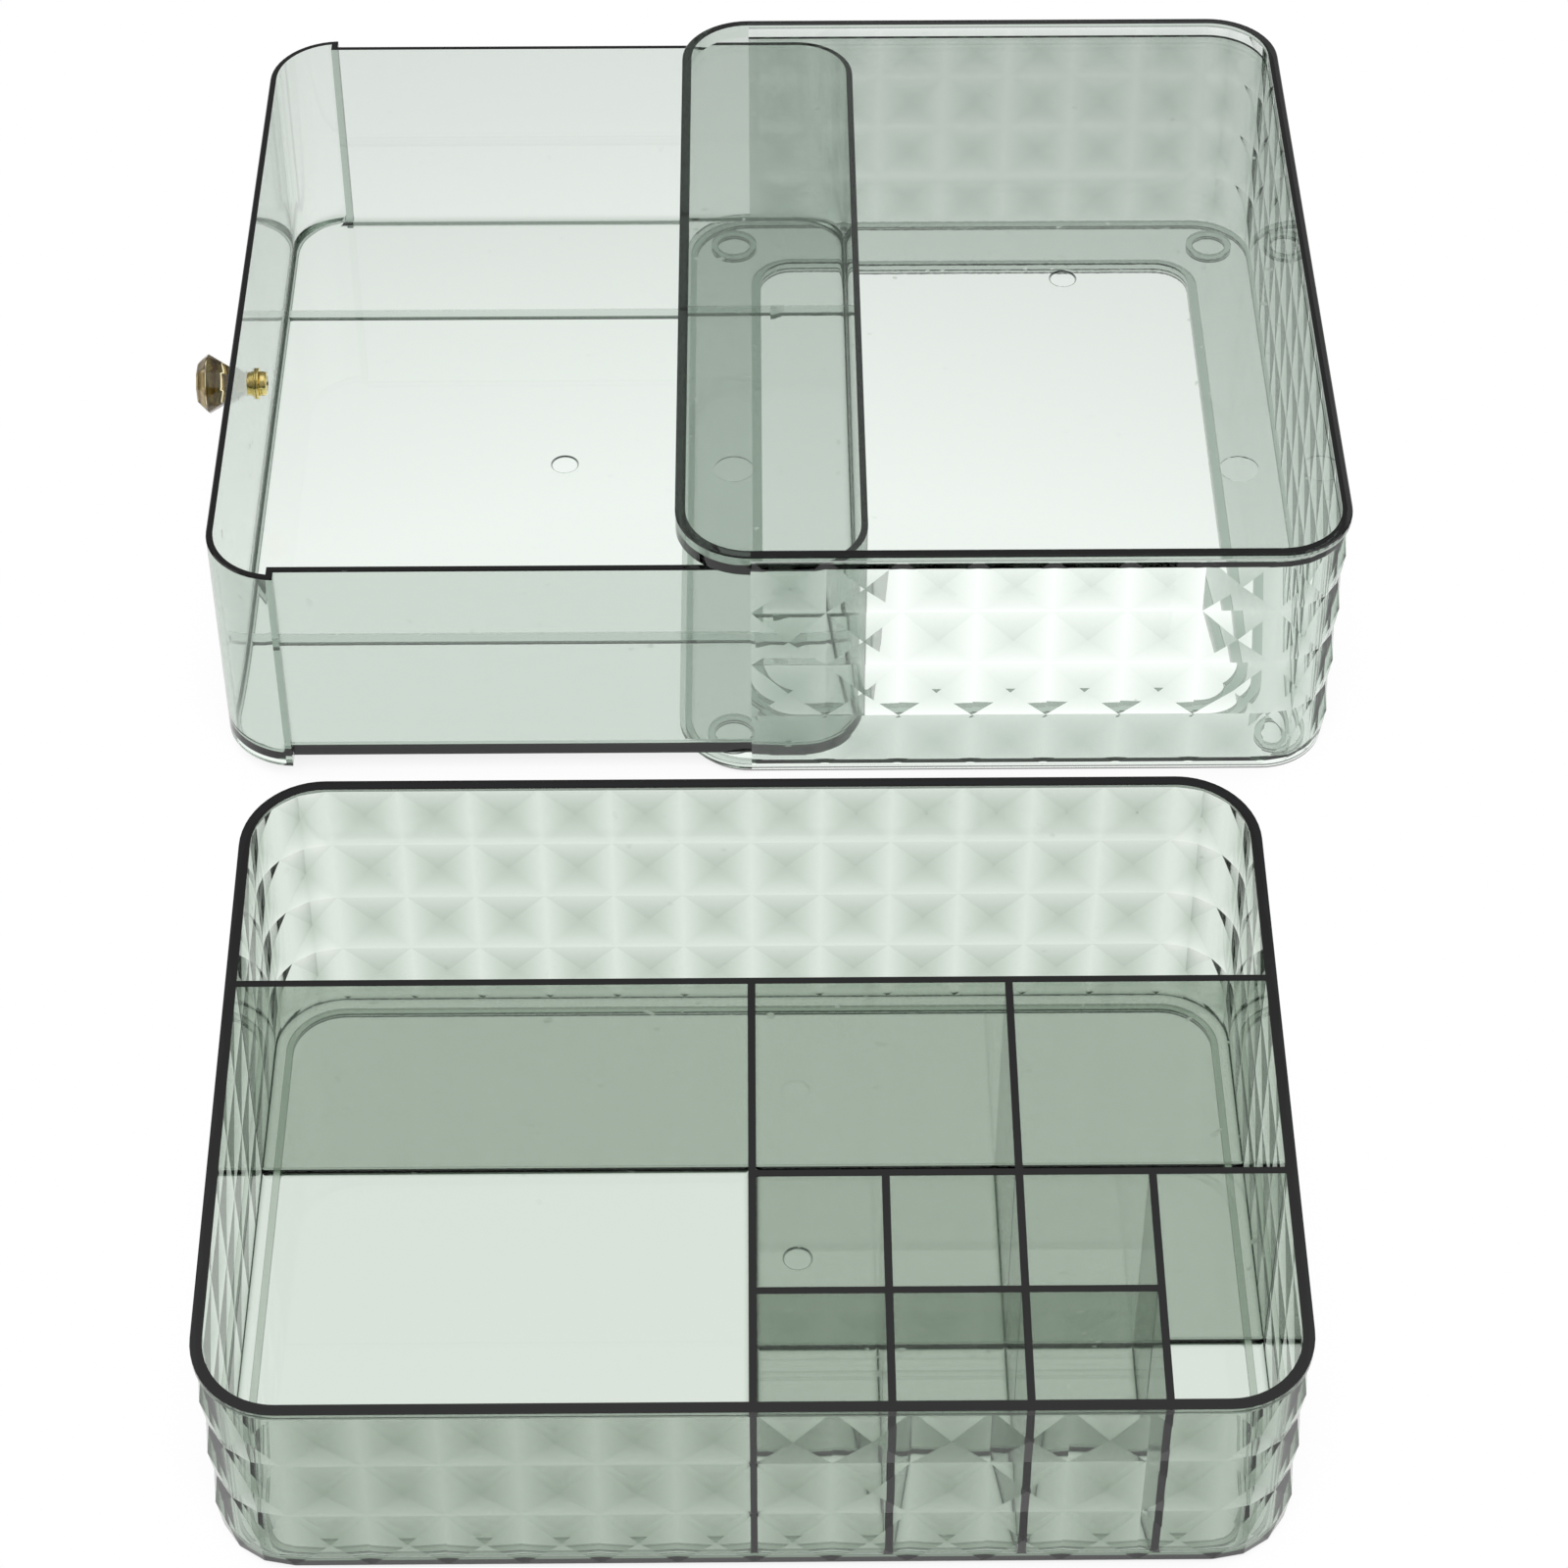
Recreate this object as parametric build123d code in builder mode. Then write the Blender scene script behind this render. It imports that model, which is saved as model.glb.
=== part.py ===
"""Two-tier makeup organizer: a faceted casing with a drawer, and a compartment tray that lifts off.

Millimetres, with +X to the right, +Y away from the viewer and +Z up. The origin lies on the table
under the middle of the whole layout. The casing stands behind with its drawer pulled out towards
-X, and the tray stands by itself in front of it.
"""
import os
from math import cos, radians, sin

from build123d import *

os.makedirs("parts", exist_ok=True)

# Outline that the casing and the tray share
long_side = 300.0
short_side = 216.0
corner_radius = 24.0

# Pyramids moulded on the outside, in columns and rows
count_long = 12
count_short = 7
count_corner = 2
row_height = 22.5
facet_depth = 1.5
groove_wall = 1.8
skin = facet_depth + groove_wall
edge_break = 0.4

# Casing
casing_foot = 2.5
casing_rows = 4
casing_rim = 2.2
floor_thickness = 2.2
plate_thickness = 2.2
lip_height = 5.0
cutout_x = 160.0
cutout_y = 240.0
cutout_radius = 12.0
cutout_rib = 3.4
foot_inset = 1.8
foot_rib = 2.2
pad_outer = 17.0
pad_inner = 12.6
pad_x = 90.0
pad_y = 133.0
mark_diameter = 14.0
mark_depth = 0.4
casing_gate = 9.0
casing_gate_x = 23.0
gate_depth = 0.6

# Drawer
drawer_open = 150.0
drawer_wall = 2.2
under_gap = 0.3
side_gap = 0.5
top_gap = 0.8
end_gap = 1.0
runner_height = 1.5
runner_width = 4.4
runner_y = 89.0
drawer_fillet = 3.0
drawer_gate = 9.5
stop_play = 3.5
stop_length = 5.0
stop_flat = 1.0
stop_drop = 1.5

# Knob, along its axis outwards from the front panel
knob_sides = 8
ferrule_diameter = 11.0
ferrule_waist = 7.4
ferrule_bead = 9.0
ferrule_length = 4.0
ferrule_flange = 1.0
ferrule_collar = 1.2
crystal_neck = 7.6
crystal_girdle = 20.4
crystal_table = 13.0
kite_share = 0.45
crystal_flare = 10.5
crystal_crown = 3.8
screw_diameter = 4.0
screw_clearance = 0.1
screw_reach = 5.0
screw_head = 8.6
screw_head_height = 2.8
screw_dome = 1.2
recess_length = 4.8
recess_width = 1.2
recess_depth = 1.4
washer_diameter = 11.0
washer_thickness = 0.8

# Tray
tray_foot = 2.0
tray_foot_inset = 6.5
tray_foot_rib = 2.0
tray_floor = 2.0
tray_rows = 4
tray_front_rows = 3
tray_rim = 2.0
partition = 2.2
small_columns = 4
front_depth = 34.3
middle_depth = 72.1
back_depth = 138.0
tray_fillet = 2.0
tray_gate = 8.5
tray_gate_x = 13.0

# Distance between casing and tray on the table
tray_gap = 99.0

# Levels
casing_floor_top = casing_foot + floor_thickness
casing_band = casing_foot + casing_rows * row_height
casing_height = casing_band + casing_rim
plate_top = casing_height - lip_height
plate_bottom = plate_top - plate_thickness
drawer_bottom = casing_floor_top + under_gap
drawer_underside = drawer_bottom + runner_height
drawer_floor_top = drawer_underside + drawer_wall
drawer_top = plate_bottom - top_gap
tray_floor_top = tray_foot + tray_floor
rim_front = tray_foot + tray_front_rows * row_height + tray_rim
rim_back = tray_foot + tray_rows * row_height + tray_rim

# Places on the table
knob_length = ferrule_length + crystal_flare + crystal_crown
casing_x = (drawer_open + knob_length) / 2
casing_y = (short_side + tray_gap) / 2
tray_y = -(long_side + tray_gap) / 2
casing_base = Plane(origin=(casing_x, casing_y, 0))
drawer_base = Plane(origin=(casing_x - drawer_open, casing_y, 0))
tray_base = Plane(origin=(0, tray_y, 0))


def outline_points(size_x, size_y, count_x, count_y, groove, ridge):
    """Closed outline with one point per column border and one per column middle.

    Points on column borders lie at depth groove and points on column middles at depth ridge,
    both measured inwards from the full outline.
    """
    points = []
    for side, (half, run, cells) in enumerate(
        [
            (size_y / 2, size_x, count_x),
            (size_x / 2, size_y, count_y),
            (size_y / 2, size_x, count_x),
            (size_x / 2, size_y, count_y),
        ]
    ):
        turn = radians(90 * side - 90)
        outwards = Vector(cos(turn), sin(turn))
        sideways = Vector(-sin(turn), cos(turn))
        straight = run - 2 * corner_radius
        for step in range(2 * cells):
            along = straight * (step / (2 * cells) - 0.5)
            depth = ridge if step % 2 else groove
            points.append(outwards * (half - depth) + sideways * along)
        centre = outwards * (half - corner_radius) + sideways * (straight / 2)
        for step in range(2 * count_corner):
            angle = turn + radians(90) * step / (2 * count_corner)
            depth = ridge if step % 2 else groove
            points.append(centre + Vector(cos(angle), sin(angle)) * (corner_radius - depth))
    return [(point.X, point.Y) for point in points]


def faceted_block(base, size_x, size_y, count_x, count_y, bottom, rows):
    """Solid block with pyramids on its sides: level ridges and grooves, crossed by upright ones."""
    with BuildPart() as block:
        for half_row in range(2 * rows + 1):
            depth = 0 if half_row % 2 else facet_depth
            with BuildSketch(base.offset(bottom + half_row * row_height / 2)):
                with BuildLine():
                    level = outline_points(size_x, size_y, count_x, count_y, depth, depth)
                    Polyline(*level, close=True)
                make_face()
        loft(ruled=True)
        with BuildSketch(base.offset(bottom)):
            with BuildLine():
                zigzag = outline_points(size_x, size_y, count_x, count_y, facet_depth, 0)
                Polyline(*zigzag, close=True)
            make_face()
        extrude(amount=rows * row_height, mode=Mode.INTERSECT)
    return block.part


def rounded_block(base, size_x, size_y, inset, bottom, top):
    """Block with rounded corners whose sides lie at an inset from the full outline."""
    with BuildPart() as block:
        with BuildSketch(base.offset(bottom)):
            RectangleRounded(size_x - 2 * inset, size_y - 2 * inset, corner_radius - inset)
        extrude(amount=top - bottom)
    return block.part


def rounded_ring(base, size_x, size_y, inset, width, bottom, top):
    """Upright rib that follows the full outline at an inset from it."""
    inner = inset + width
    with BuildPart() as ring:
        with BuildSketch(base.offset(bottom)):
            RectangleRounded(size_x - 2 * inset, size_y - 2 * inset, corner_radius - inset)
            RectangleRounded(
                size_x - 2 * inner, size_y - 2 * inner, corner_radius - inner, mode=Mode.SUBTRACT
            )
        extrude(amount=top - bottom)
    return ring.part


# Casing: floor with a large opening, three faceted walls, top plate and lip
mouth_x = -short_side / 2 + corner_radius
casing_facets = faceted_block(
    casing_base, short_side, long_side, count_short, count_long, casing_foot, casing_rows
)
casing_bay = rounded_block(
    casing_base, short_side, long_side, skin, casing_floor_top, plate_bottom
)
casing_seat = rounded_block(casing_base, short_side, long_side, skin, plate_top, casing_height)
casing_rib = rounded_ring(casing_base, short_side, long_side, foot_inset, foot_rib, 0, casing_foot)

with BuildPart() as casing_shell:
    add(casing_facets)
    # The drawer's side has no wall; floor, plate and lip keep the plain outline there
    with BuildSketch(casing_base.offset(casing_foot)):
        with Locations((mouth_x - short_side / 2, 0)):
            Rectangle(short_side, long_side)
    extrude(amount=casing_band - casing_foot, mode=Mode.SUBTRACT)
    for low, high in ((casing_foot, casing_floor_top), (plate_bottom, casing_band)):
        with BuildSketch(casing_base.offset(low)):
            RectangleRounded(short_side, long_side, corner_radius)
            with Locations((mouth_x - short_side / 2, 0)):
                Rectangle(short_side, long_side, mode=Mode.INTERSECT)
        extrude(amount=high - low)
    with BuildSketch(casing_base.offset(casing_band)):
        RectangleRounded(short_side, long_side, corner_radius)
    extrude(amount=casing_rim)
    chamfer(casing_shell.edges().group_by(Axis.Z)[-1], edge_break)
    add(casing_seat, mode=Mode.SUBTRACT)
    add(casing_bay, mode=Mode.SUBTRACT)
    # Underneath: rib along the outline, rib round the opening, pad rings, two round marks
    add(casing_rib)
    with BuildSketch(casing_base):
        RectangleRounded(
            cutout_x + 2 * cutout_rib, cutout_y + 2 * cutout_rib, cutout_radius + cutout_rib
        )
        with GridLocations(2 * pad_x, 2 * pad_y, 2, 2):
            Circle(pad_outer / 2)
            Circle(pad_inner / 2, mode=Mode.SUBTRACT)
    extrude(amount=casing_foot)
    with BuildSketch(casing_base):
        RectangleRounded(cutout_x, cutout_y, cutout_radius)
    extrude(amount=casing_floor_top, mode=Mode.SUBTRACT)
    with BuildSketch(casing_base.offset(casing_foot)):
        with GridLocations(2 * pad_x, 0, 2, 1):
            Circle(mark_diameter / 2)
    extrude(amount=mark_depth, mode=Mode.SUBTRACT)
    with BuildSketch(casing_base.offset(plate_top - gate_depth)):
        with Locations((casing_gate_x, 0)):
            Circle(casing_gate / 2)
    extrude(amount=gate_depth, mode=Mode.SUBTRACT)
casing_shell.part.label = "casing_shell"
export_step(casing_shell.part, "parts/casing_shell.step")

# Drawer: plain box whose front panel wraps round both front corners
box_front = -short_side / 2
box_back = short_side / 2 - skin - end_gap
box_half = long_side / 2 - skin - side_gap
box_radius = corner_radius - skin - side_gap
wrap_end = mouth_x - end_gap
wrap_step = wrap_end - drawer_wall
inside_front = box_front + drawer_wall
inside_back = box_back - drawer_wall
inside_half = box_half - drawer_wall
knob_z = (drawer_bottom + drawer_top) / 2
stop_face = drawer_open + stop_play - cutout_x / 2
stop_plane = Plane(
    origin=drawer_base.offset(drawer_bottom).origin, x_dir=(1, 0, 0), z_dir=(0, -1, 0)
)
knob_base = Plane(
    origin=drawer_base.origin + Vector(box_front, 0, knob_z), x_dir=(0, -1, 0), z_dir=(-1, 0, 0)
)

with BuildPart() as drawer_cavity:
    with BuildSketch(drawer_base.offset(drawer_floor_top)):
        RectangleRounded(
            short_side - 2 * drawer_wall, long_side - 2 * drawer_wall, corner_radius - drawer_wall
        )
        with Locations((wrap_step - short_side / 2, 0)):
            Rectangle(short_side, long_side, mode=Mode.INTERSECT)
        with Locations(((inside_front + inside_back) / 2, 0)):
            RectangleRounded(inside_back - inside_front, 2 * inside_half, box_radius - drawer_wall)
    extrude(amount=drawer_top - drawer_floor_top)
    fillet(drawer_cavity.edges().group_by(Axis.Z)[0], drawer_fillet)

with BuildPart() as drawer_box:
    with BuildSketch(drawer_base.offset(drawer_bottom)):
        RectangleRounded(short_side, long_side, corner_radius)
        with Locations((wrap_end - short_side / 2, 0)):
            Rectangle(short_side, long_side, mode=Mode.INTERSECT)
    extrude(amount=drawer_top - drawer_bottom)
    with BuildSketch(drawer_base.offset(drawer_underside)):
        with Locations(((inside_front + box_back) / 2, 0)):
            RectangleRounded(box_back - inside_front, 2 * box_half, box_radius)
    extrude(amount=drawer_top - drawer_underside)
    chamfer(drawer_box.edges().group_by(Axis.Z)[-1], edge_break)
    add(drawer_cavity.part, mode=Mode.SUBTRACT)
    # Below the floor only the wrapped panel and the runners go down to the casing's floor
    with BuildSketch(drawer_base.offset(drawer_bottom)):
        RectangleRounded(
            short_side - 2 * drawer_wall, long_side - 2 * drawer_wall, corner_radius - drawer_wall
        )
        with Locations((wrap_step - short_side / 2, 0)):
            Rectangle(short_side, long_side, mode=Mode.INTERSECT)
        with Locations(((wrap_step + wrap_end) / 2, 0)):
            Rectangle(wrap_end - wrap_step, 2 * inside_half)
    extrude(amount=runner_height, mode=Mode.SUBTRACT)
    with BuildSketch(drawer_base.offset(drawer_bottom)):
        with Locations(((inside_front + box_back) / 2, 0)):
            with GridLocations(0, 2 * runner_y, 1, 2):
                Rectangle(box_back - inside_front, runner_width)
    extrude(amount=runner_height)
    # Ramped stops under the runners: they slip in over the floor and then catch its edge
    with BuildSketch(stop_plane):
        with BuildLine():
            Polyline(
                (stop_face, 0),
                (stop_face, -stop_drop),
                (stop_face + stop_flat, -stop_drop),
                (stop_face + stop_length, 0),
                close=True,
            )
        make_face()
    extrude(amount=runner_y + runner_width / 2, both=True)
    with BuildSketch(drawer_base.offset(drawer_bottom - stop_drop)):
        Rectangle(short_side, 2 * runner_y - runner_width)
    extrude(amount=stop_drop, mode=Mode.SUBTRACT)
    with BuildSketch(drawer_base.offset(drawer_floor_top - gate_depth)):
        Circle(drawer_gate / 2)
    extrude(amount=gate_depth, mode=Mode.SUBTRACT)
    # Screw hole for the knob
    with BuildSketch(knob_base):
        Circle(screw_diameter / 2 + screw_clearance)
    extrude(amount=-drawer_wall, mode=Mode.SUBTRACT)
drawer_box.part.label = "drawer_box"
export_step(drawer_box.part, "parts/drawer_box.step")

# Knob: a faceted crystal on a metal ferrule, held by a screw and washer from inside
knob_axis = Axis(knob_base.origin, knob_base.z_dir)
knob_profile = Plane(origin=knob_base.origin, x_dir=(0, -1, 0), z_dir=(0, 0, -1))
screw_seat = -drawer_wall - washer_thickness


def facet_plane(turn, low, high):
    """Plane of one crystal facet, at an angle round the knob's axis and through two points.

    Each point is a distance from the axis and a level above the ferrule.
    """
    out = Vector(cos(turn), sin(turn), 0)
    foot = out * low[0] + Vector(0, 0, ferrule_length + low[1])
    facing = out * (high[1] - low[1]) - Vector(0, 0, high[0] - low[0])
    origin = knob_base.from_local_coords(foot)
    return Plane(origin=origin, z_dir=knob_base.from_local_coords(foot + facing) - origin)


corner_ratio = 1 / cos(radians(180 / knob_sides))
girdle_point = (crystal_girdle / 2, crystal_flare)
neck_point = (crystal_neck / 2, 0)
table_point = (crystal_table / 2, crystal_flare + crystal_crown)
kite_points = [
    (
        corner_ratio * (end[0] + (girdle_point[0] - end[0]) * kite_share),
        end[1] + (girdle_point[1] - end[1]) * kite_share,
    )
    for end in (neck_point, table_point)
]

with BuildPart() as knob_crystal:
    with BuildSketch(knob_base.offset(ferrule_length)):
        Circle(crystal_girdle)
    extrude(amount=crystal_flare + crystal_crown)
    for side in range(knob_sides):
        main_turn = radians(360 * side / knob_sides)
        kite_turn = radians(360 * (side + 0.5) / knob_sides)
        for turn, low, high in (
            (main_turn, neck_point, girdle_point),
            (main_turn, girdle_point, table_point),
            (kite_turn, kite_points[0], girdle_point),
            (kite_turn, girdle_point, kite_points[1]),
        ):
            split(bisect_by=facet_plane(turn, low, high), keep=Keep.BOTTOM)
    with BuildSketch(knob_base.offset(ferrule_length)):
        Circle(screw_diameter / 2 + screw_clearance)
    extrude(amount=screw_reach + screw_clearance, mode=Mode.SUBTRACT)
knob_crystal.part.label = "knob_crystal"
export_step(knob_crystal.part, "parts/knob_crystal.step")

with BuildPart() as knob_ferrule:
    with BuildSketch(knob_profile):
        with BuildLine():
            bore = screw_diameter / 2 + screw_clearance
            Polyline(
                (bore, 0),
                (ferrule_diameter / 2, 0),
                (ferrule_diameter / 2, ferrule_flange),
                (ferrule_waist / 2, ferrule_length - ferrule_collar),
                (ferrule_bead / 2, ferrule_length),
                (bore, ferrule_length),
                close=True,
            )
        make_face()
    revolve(axis=knob_axis)
knob_ferrule.part.label = "knob_ferrule"
export_step(knob_ferrule.part, "parts/knob_ferrule.step")

with BuildPart() as knob_washer:
    with BuildSketch(knob_base.offset(screw_seat)):
        Circle(washer_diameter / 2)
        Circle(screw_diameter / 2 + screw_clearance, mode=Mode.SUBTRACT)
    extrude(amount=washer_thickness)
knob_washer.part.label = "knob_washer"
export_step(knob_washer.part, "parts/knob_washer.step")

with BuildPart() as knob_screw:
    with BuildSketch(knob_base.offset(screw_seat - screw_head_height)):
        Circle(screw_head / 2)
    extrude(amount=screw_head_height)
    chamfer(knob_screw.edges().sort_by(Axis.X)[-1], screw_dome)
    with BuildSketch(knob_base.offset(screw_seat)):
        Circle(screw_diameter / 2)
    extrude(amount=ferrule_length + screw_reach - screw_seat)
    with BuildSketch(knob_base.offset(screw_seat - screw_head_height)):
        Rectangle(recess_length, recess_width)
        Rectangle(recess_width, recess_length)
    extrude(amount=recess_depth, mode=Mode.SUBTRACT)
knob_screw.part.label = "knob_screw"
export_step(knob_screw.part, "parts/knob_screw.step")

# Tray: faceted walls with a rim that rises towards the back, eleven compartments
inner_x = long_side / 2 - skin
inner_front = -short_side / 2 + skin
inner_back = short_side / 2 - skin
column_pitch = inner_x / small_columns
column_ends = [column_pitch * column for column in range(small_columns)]
row_front = inner_front + front_depth
row_middle = inner_front + middle_depth
row_back = inner_front + back_depth
tray_side = Plane(origin=tray_base.origin, x_dir=(0, 1, 0), z_dir=(1, 0, 0))
partition_runs = [
    ((-inner_x, row_back), (inner_x, row_back)),
    ((0, row_middle), (inner_x, row_middle)),
    ((0, row_front), (column_ends[3], row_front)),
    ((0, inner_front), (0, row_back)),
    ((column_ends[1], inner_front), (column_ends[1], row_middle)),
    ((column_ends[2], inner_front), (column_ends[2], row_back)),
    ((column_ends[3], inner_front), (column_ends[3], row_middle)),
]


def below_rim(drop):
    """Block that holds everything under the sloping rim plane, lowered by drop."""
    with BuildPart() as under:
        with BuildSketch(tray_side):
            with BuildLine():
                Polyline(
                    (-short_side / 2, 0),
                    (short_side / 2, 0),
                    (short_side / 2, rim_back - drop),
                    (-short_side / 2, rim_front - drop),
                    close=True,
                )
            make_face()
        extrude(amount=long_side / 2, both=True)
    return under.part


tray_facets = faceted_block(
    tray_base, long_side, short_side, count_long, count_short, tray_foot, tray_rows
)
tray_outline = rounded_block(tray_base, long_side, short_side, 0, tray_foot, rim_back)
tray_rib = rounded_ring(
    tray_base, long_side, short_side, tray_foot_inset, tray_foot_rib, 0, tray_foot
)
under_rim = below_rim(0)
under_band = below_rim(tray_rim)

with BuildPart() as tray_rim:
    add(tray_outline)
    add(under_rim, mode=Mode.INTERSECT)
    add(under_band, mode=Mode.SUBTRACT)

with BuildPart() as tray_cells:
    with BuildSketch(tray_base.offset(tray_floor_top)):
        RectangleRounded(long_side - 2 * skin, short_side - 2 * skin, corner_radius - skin)
        for start, end in partition_runs:
            with Locations(((start[0] + end[0]) / 2, (start[1] + end[1]) / 2)):
                Rectangle(
                    end[0] - start[0] + partition,
                    end[1] - start[1] + partition,
                    mode=Mode.SUBTRACT,
                )
    extrude(amount=rim_back - tray_floor_top)
    fillet(tray_cells.edges().group_by(Axis.Z)[0], tray_fillet)

with BuildPart() as tray_shell:
    add(tray_facets)
    add(under_band, mode=Mode.INTERSECT)
    add(tray_rim.part)
    add(tray_cells.part, mode=Mode.SUBTRACT)
    add(tray_rib)
    with BuildSketch(tray_base.offset(tray_floor_top - gate_depth)):
        with Locations((tray_gate_x, 0)):
            Circle(tray_gate / 2)
    extrude(amount=gate_depth, mode=Mode.SUBTRACT)
tray_shell.part.label = "tray_shell"
export_step(tray_shell.part, "parts/tray_shell.step")
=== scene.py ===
import logging
from dataclasses import dataclass, field
from enum import Enum
from math import cos, pi, radians

import bpy
import numpy as np
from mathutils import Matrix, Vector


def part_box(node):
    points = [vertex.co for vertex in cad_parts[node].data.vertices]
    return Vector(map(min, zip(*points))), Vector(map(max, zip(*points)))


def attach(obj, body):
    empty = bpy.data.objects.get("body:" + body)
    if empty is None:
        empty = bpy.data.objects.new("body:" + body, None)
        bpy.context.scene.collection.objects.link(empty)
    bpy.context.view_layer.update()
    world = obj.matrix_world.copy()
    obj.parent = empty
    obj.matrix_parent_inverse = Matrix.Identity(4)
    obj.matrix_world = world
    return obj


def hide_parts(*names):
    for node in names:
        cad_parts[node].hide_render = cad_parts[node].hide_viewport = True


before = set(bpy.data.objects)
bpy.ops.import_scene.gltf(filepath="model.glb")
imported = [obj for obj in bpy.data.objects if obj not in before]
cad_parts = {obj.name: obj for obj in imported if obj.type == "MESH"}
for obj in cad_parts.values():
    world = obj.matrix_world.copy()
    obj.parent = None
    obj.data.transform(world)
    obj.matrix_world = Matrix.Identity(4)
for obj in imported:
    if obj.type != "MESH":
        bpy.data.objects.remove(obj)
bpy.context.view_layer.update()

LOG = logging.getLogger("drawer_organizer")
MM = 0.001
TINY = 1e-9
Rgb = tuple[float, float, float]
Point = tuple[float, float, float]
Steps = tuple[tuple[float, float], ...]
Stops = list[tuple[float, Rgb]]
Socket = bpy.types.NodeSocket

# Colour sockets of the Mix node, whose names repeat for its other kinds of data.
MIX_UNDER, MIX_OVER, MIX_RESULT = 6, 7, 2
# Density of an absorbing inside over the most that it takes from red, green or blue.
DENSITY_SPARE = 1.6


class Slot(Enum):
    """Material slots of the record that a piece takes its finish from."""

    SMOKE = "smoke_plastic"
    CRYSTAL = "crystal"
    GOLD = "gold"


class Body(Enum):
    """Bodies of the frame that a piece rides on."""

    CASING = "casing"
    DRAWER = "drawer"
    TRAY = "tray"


class Wrap(Enum):
    """How the columns and rows of a grid of points close on themselves."""

    POLES = "columns close, first and last row are single points"
    TORUS = "columns and rows close"
    SHEET = "nothing closes"


# Nodes


@dataclass(frozen=True)
class Fade:
    """A range of a value and the range that it becomes, held at both ends."""

    low: float
    high: float
    at_low: float = 0.0
    at_high: float = 1.0


@dataclass(frozen=True)
class Clouds:
    """A cloudy noise: its clouds per metre and how many finer layers are added."""

    waves: float
    layers: float


class NodeBench:
    """A node tree being wired, with short ways to place and join its nodes."""

    def __init__(self, tree: bpy.types.NodeTree) -> None:
        """Empties the tree.

        Args:
            tree: node tree of a material or of the world.
        """
        self.tree = tree
        tree.nodes.clear()

    def add(self, kind: str, inputs: dict[str | int, object] | None = None,
            **settings: object) -> bpy.types.Node:
        """Places a node.

        Args:
            kind: node type without the word ShaderNode.
            inputs: constant values of its input sockets, by name or number.
            settings: values of the node's own settings.

        Returns:
            The new node.
        """
        node = self.tree.nodes.new("ShaderNode" + kind)
        for name, value in settings.items():
            setattr(node, name, value)
        for name, value in (inputs or {}).items():
            node.inputs[name].default_value = value
        return node

    def join(self, source: Socket, target: Socket) -> None:
        """Links an output socket to an input socket."""
        self.tree.links.new(source, target)

    def close(self, shader: bpy.types.Node, output: str = "OutputMaterial") -> bpy.types.Node:
        """Joins the finished shader to the tree's output.

        Args:
            shader: node of the shader.
            output: node type of the output.

        Returns:
            The output's node.
        """
        out = self.add(output)
        self.join(shader.outputs[0], out.inputs["Surface"])
        return out

    def choose(self, which: Socket, otherwise: bpy.types.Node,
               then: bpy.types.Node) -> bpy.types.Node:
        """One shader where a socket is 0 and another where it is 1.

        Args:
            which: socket that chooses.
            otherwise: node of the shader at 0.
            then: node of the shader at 1.

        Returns:
            The node of the chosen shader.
        """
        node = self.add("MixShader")
        for source, target in zip((which, otherwise.outputs[0], then.outputs[0]), node.inputs):
            self.join(source, target)
        return node

    def object_place(self, centre: Point = (0.0, 0.0, 0.0)) -> Socket:
        """Object coordinates counted from a centre.

        Args:
            centre: point that becomes the origin, in metres.

        Returns:
            The socket with the coordinates.
        """
        mapping = self.add("Mapping", {"Location": [-c for c in centre]})
        self.join(self.add("TexCoord").outputs["Object"], mapping.inputs["Vector"])
        return mapping.outputs["Vector"]

    def split(self, place: Socket) -> bpy.types.NodeOutputs:
        """Takes coordinates or a direction apart.

        Args:
            place: the coordinates or the direction.

        Returns:
            The sockets named X, Y and Z.
        """
        node = self.add("SeparateXYZ")
        self.join(place, node.inputs[0])
        return node.outputs

    def distance(self, place: Socket, axes: Point | None = None) -> Socket:
        """Distance from the origin of the coordinates.

        Args:
            place: coordinates.
            axes: factor for each axis, 0 for one that doesn't count.

        Returns:
            The socket with the distance, in metres.
        """
        if axes is not None:
            across = self.add("VectorMath", {1: axes}, operation="MULTIPLY")
            self.join(place, across.inputs[0])
            place = across.outputs[0]
        length = self.add("VectorMath", operation="LENGTH")
        self.join(place, length.inputs[0])
        return length.outputs["Value"]

    def noise(self, place: Socket, clouds: Clouds) -> Socket:
        """Cloudy noise.

        Args:
            place: coordinates.
            clouds: size and layers of the clouds.

        Returns:
            The socket with the noise, from 0 to 1.
        """
        node = self.add("TexNoise", {"Scale": clouds.waves, "Detail": clouds.layers})
        self.join(place, node.inputs["Vector"])
        return node.outputs["Fac"]

    def fade(self, value: Socket, fade: Fade) -> Socket:
        """Maps a value from one range onto another.

        Args:
            value: socket to map.
            fade: the two ranges.

        Returns:
            The mapped socket.
        """
        node = self.add("MapRange", {"From Min": fade.low, "From Max": fade.high,
                                     "To Min": fade.at_low, "To Max": fade.at_high})
        self.join(value, node.inputs["Value"])
        return node.outputs["Result"]

    def math(self, operation: str, first: Socket, second: Socket | None = None) -> Socket:
        """A sum of one or two sockets.

        Args:
            operation: name of the Math node's operation.
            first: first socket.
            second: second socket, where the operation takes two.

        Returns:
            The socket with the result.
        """
        node = self.add("Math", operation=operation)
        self.join(first, node.inputs[0])
        if second is not None:
            self.join(second, node.inputs[1])
        return node.outputs[0]

    def relief(self, height: Socket, depth: float, under: Socket | None = None) -> Socket:
        """Bump of a height.

        Args:
            height: height from 0 to 1.
            depth: what a height of 1 stands for, in metres.
            under: coarser bump that this one is laid on.

        Returns:
            The socket with the bent normal.
        """
        node = self.add("Bump", {"Distance": depth})
        self.join(height, node.inputs["Height"])
        if under is not None:
            self.join(under, node.inputs["Normal"])
        return node.outputs["Normal"]

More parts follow.
